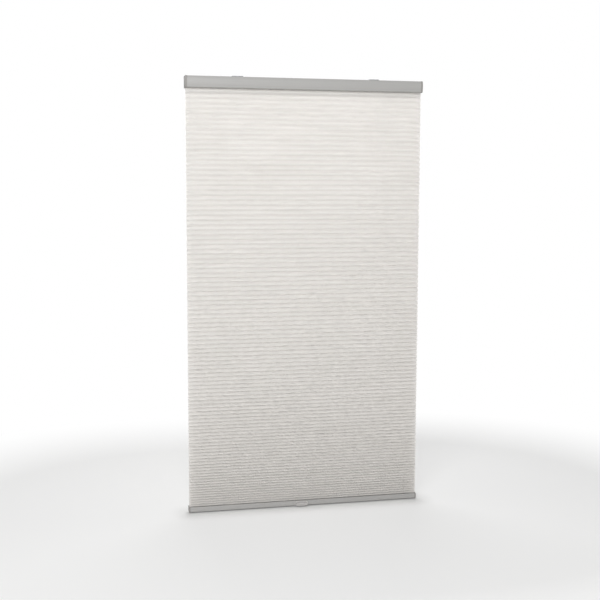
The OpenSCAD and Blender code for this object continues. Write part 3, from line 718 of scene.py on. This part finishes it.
def add_tube(bm, path, radius, sides):
    """A round tube along a path that never runs along Y."""
    loops = []
    for i, point in enumerate(path):
        along = (path[min(i + 1, len(path) - 1)] - path[max(i - 1, 0)]).normalized()
        level = (Vector((0, 1, 0)) - along * along.y).normalized()
        rise = along.cross(level)
        ring = arc((0, 0), 1, 0, 360, sides)[:-1]
        loops.append([point + radius * (level * c + rise * s) for c, s in ring])
    add_loft(bm, loops)


def cord_route(side, sign):
    """From the spool's rear along the headrail, over the pulley and down through the cells to
    the washer."""
    spool_low, spool_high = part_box(f"{side}_cord_spool")
    pulley_low, pulley_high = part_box(f"{side}_guide_pulley")
    spool, pulley = (spool_low + spool_high) / 2, (pulley_low + pulley_high) / 2
    turn = PULLEY_GROOVE_R + CORD_GAP + CORD_R
    start = Vector((spool.x, SPOOL_R + CORD_GAP + CORD_R, pulley.z + turn))
    over = [Vector((pulley.x + sign * x, 0, pulley.z + z)) for x, z in arc((0, 0), turn, 90, 0, 10)]
    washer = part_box(f"{side}_cord_washer")[0].z
    drop = [Vector((over[-1].x, 0, over[-1].z + (washer - over[-1].z) * i / 24)) for i in range(1, 25)]
    return [start + (over[0] - start) * i / 8 for i in range(8)] + over + drop


def lift_cord(side, sign):
    """A taut cord, and the knot under its washer."""
    bm = bmesh.new()
    path = cord_route(side, sign)
    add_tube(bm, path, CORD_R, 10)
    cord = make_piece(f"{side}_cord", bm, cord_braid, "headrail", [f"{side}_lift_cord"])
    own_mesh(cord)
    bm = bmesh.new()
    centre = path[-1] - Vector((0, 0, KNOT_R))
    bmesh.ops.create_uvsphere(bm, u_segments=24, v_segments=16, radius=1)
    for vert in bm.verts:
        turns = 3 * math.atan2(vert.co.y, vert.co.x) + 5 * vert.co.z
        vert.co = centre + vert.co * KNOT_R * (1 - KNOT_LUMP + KNOT_LUMP * abs(math.sin(turns)))
    knot = make_piece(f"{side}_cord_knot", bm, cord_braid, "bottom_rail")


headrail_extrusion()
for side, sign in SIDES.items():
    headrail_cap(side, sign)
    rail_cap(side, sign)
    lift_cord(side, sign)
bonds = bond_levels()
honeycomb(bonds)
fabric_pocket("top_fabric_pocket", "headrail", "top_fabric_strip", bonds[0])
fabric_pocket("bottom_fabric_pocket", "bottom_rail", "bottom_fabric_strip", bonds[-1])
bottom_rail_extrusion()
finger_pull()

finishes = {
    bracket_steel: ["left_mounting_bracket", "right_mounting_bracket"],
    motor_plastic: ["spring_motor_base", "spring_motor_cover", "left_cord_guide", "right_cord_guide"],
    bright_steel: ["motor_cover_screws", "left_pulley_pin", "right_pulley_pin",
                   "left_cord_washer", "right_cord_washer"],
    blued_steel: ["drive_spring"],
    acetal: ["output_drum", "storage_drum", "left_cord_spool", "right_cord_spool",
             "left_guide_pulley", "right_guide_pulley"],
    strip_pvc: ["top_fabric_strip", "bottom_fabric_strip"],
    cap_plastic: ["left_rail_plug", "right_rail_plug"],
}
for material, names in finishes.items():
    for name in names:
        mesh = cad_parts[name].data
        mesh.materials.clear()
        mesh.materials.append(material)


# Stage, light and camera

def add_lamp(name, place, target, width, height, watts):
    """A soft rectangular lamp that points at target."""
    lamp = bpy.data.lights.new(name, "AREA")
    lamp.shape = "RECTANGLE"
    lamp.size, lamp.size_y, lamp.energy = width, height, watts
    holder = bpy.data.objects.new(name, lamp)
    holder.location = place
    holder.rotation_euler = (Vector(target) - Vector(place)).to_track_quat("-Z", "Y").to_euler()
    holder.visible_camera = False
    bpy.context.scene.collection.objects.link(holder)


def lay_floor():
    """A pale floor just under the shade: it keeps the shade's shadow, and further out the
    camera sees it as white as the surround."""
    bm = bmesh.new()
    bmesh.ops.create_grid(bm, x_segments=1, y_segments=1, size=FLOOR_HALF)
    bmesh.ops.translate(bm, vec=(0, 0, cad_box[0].z - FLOOR_GAP), verts=bm.verts)
    mesh = bpy.data.meshes.new("floor")
    bm.to_mesh(mesh)
    bm.free()
    material, tree = new_tree("pale_floor")
    rays = add_node(tree, "ShaderNodeLightPath")
    place = add_node(tree, "ShaderNodeTexCoord").outputs["Object"]
    folded = add_node(tree, "ShaderNodeVectorMath", {0: place}, operation="ABSOLUTE")
    past = add_node(tree, "ShaderNodeVectorMath", {
        0: folded.outputs["Vector"], 1: (rail_high.x, rail_high.y, FLOOR_HALF)}, operation="SUBTRACT")
    clear = add_node(tree, "ShaderNodeVectorMath", {
        0: past.outputs["Vector"], 1: (0, 0, 0)}, operation="MAXIMUM")
    away = add_node(tree, "ShaderNodeVectorMath", {0: clear.outputs["Vector"]}, operation="LENGTH")
    near = add_node(tree, "ShaderNodeMapRange", {
        "Value": away.outputs["Value"], "From Min": 0.004, "From Max": 0.06, "To Max": 0.45})
    far = add_node(tree, "ShaderNodeMapRange", {
        "Value": away.outputs["Value"], "From Min": 0.2, "From Max": 1.2}, interpolation_type="SMOOTHSTEP")
    share = add_node(tree, "ShaderNodeMath", {
        0: near.outputs["Result"], 1: far.outputs["Result"]}, operation="MAXIMUM")
    white = add_node(tree, "ShaderNodeMath", {
        0: share.outputs["Value"], 1: rays.outputs["Is Camera Ray"]}, operation="MULTIPLY")
    matt = add_node(tree, "ShaderNodeBsdfDiffuse", {"Color": linear("#F4F4F3")})
    glow = add_node(tree, "ShaderNodeEmission", {"Color": (1, 1, 1, 1)})
    both = add_node(tree, "ShaderNodeMixShader", {
        0: white.outputs["Value"], 1: matt.outputs["BSDF"], 2: glow.outputs["Emission"]})
    set_surface(tree, both.outputs["Shader"])
    mesh.materials.append(material)
    floor = bpy.data.objects.new("floor", mesh)
    bpy.context.scene.collection.objects.link(floor)


def light_world(ambient):
    """An even white surround: the light level is ambient, and what is seen of it is white."""
    world = bpy.data.worlds.new("surround")
    bpy.context.scene.world = world
    world.use_nodes = True
    tree = world.node_tree
    tree.nodes.clear()
    rays = add_node(tree, "ShaderNodeLightPath")
    seen = add_node(tree, "ShaderNodeMath", {
        0: rays.outputs["Is Camera Ray"], 1: rays.outputs["Is Glossy Ray"]}, operation="MAXIMUM")
    through = add_node(tree, "ShaderNodeMath", {
        0: seen.outputs["Value"], 1: rays.outputs["Is Transmission Ray"]}, operation="MAXIMUM")
    level = add_node(tree, "ShaderNodeMapRange", {
        "Value": through.outputs["Value"], "To Min": ambient, "To Max": 1.0})
    sky = add_node(tree, "ShaderNodeBackground", {"Color": (1, 1, 1, 1), "Strength": level.outputs["Result"]})
    out = add_node(tree, "ShaderNodeOutputWorld")
    tree.links.new(sky.outputs["Background"], out.inputs["Surface"])


def set_camera():
    """The camera as fitted to the picture."""
    camera = bpy.data.cameras.new("camera")
    camera.lens, camera.sensor_width = LENS_MM, SENSOR_MM
    holder = bpy.data.objects.new("camera", camera)
    turn = (Matrix.Rotation(-CAMERA_YAW, 4, "Z") @ Matrix.Rotation(math.pi / 2 - CAMERA_PITCH, 4, "X")
            @ Matrix.Rotation(CAMERA_ROLL, 4, "Z"))
    holder.matrix_world = Matrix.Translation(CAMERA_PLACE) @ turn
    bpy.context.scene.collection.objects.link(holder)
    bpy.context.scene.camera = holder


bpy.context.scene.view_settings.view_transform = "Standard"
middle = (0, 0, (cad_box[0].z + cad_box[1].z) / 2)
light_world(AMBIENT)
add_lamp("front_softbox", FRONT_LAMP_PLACE, middle, 1.6, 1.6, FRONT_LAMP_WATTS)
add_lamp("back_softbox", BACK_LAMP_PLACE, BACK_LAMP_TARGET, 1.2, 0.6, BACK_LAMP_WATTS)
lay_floor()
set_camera()
